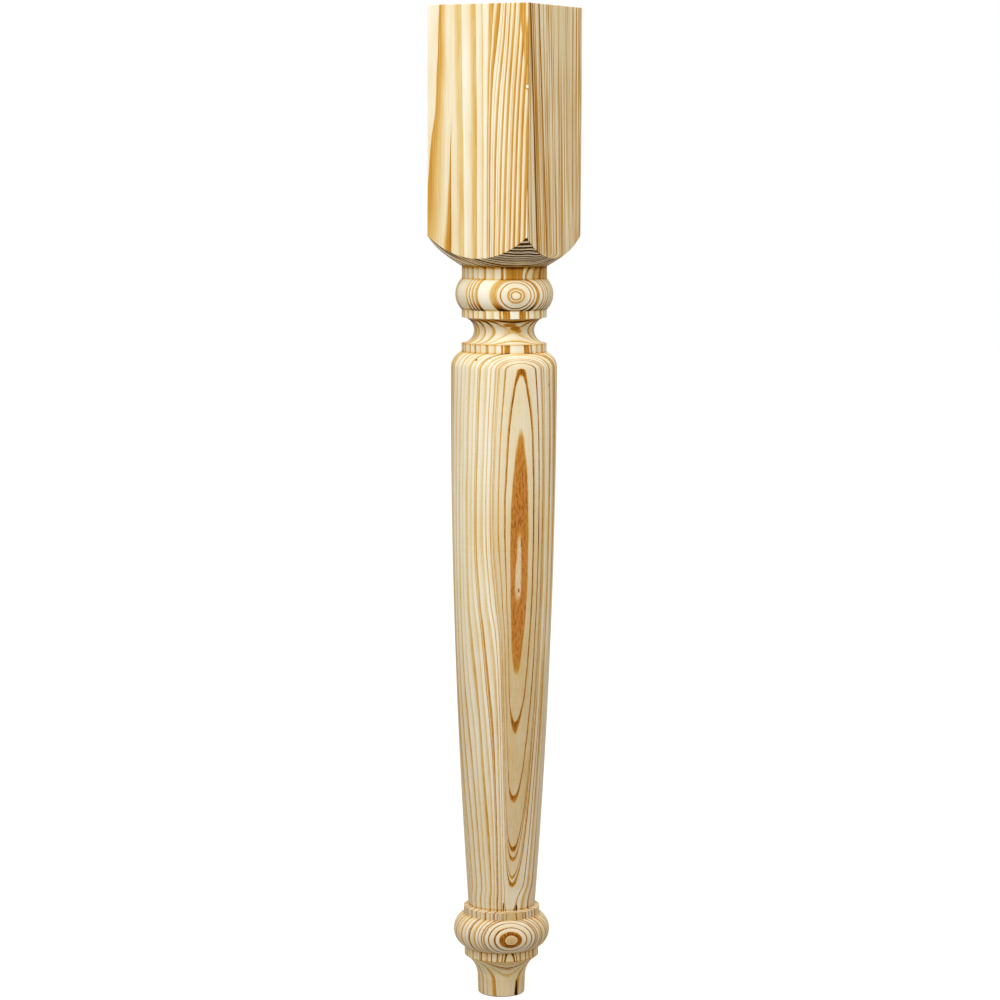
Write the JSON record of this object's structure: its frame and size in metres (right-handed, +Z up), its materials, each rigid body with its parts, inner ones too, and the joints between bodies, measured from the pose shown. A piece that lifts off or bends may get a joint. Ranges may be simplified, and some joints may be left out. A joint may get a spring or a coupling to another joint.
{
  "type": "table leg",
  "caption": "Turned pine farmhouse table leg: square block for the aprons, bead and cove, tapering round shaft, ball and collar, small round foot.",
  "frame": {"origin": "middle of the foot's underside, on the ground", "axes": "+Z up along the turning axis to the top of the block; the block's faces look along X and Y"},
  "size_m": [0.083, 0.083, 0.7366],
  "materials": {
    "pine": "bare sanded pine, satin, with open growth-ring figure"
  },
  "bodies": {
    "root": {"leg": "pine"}
  },
  "joints": []
}
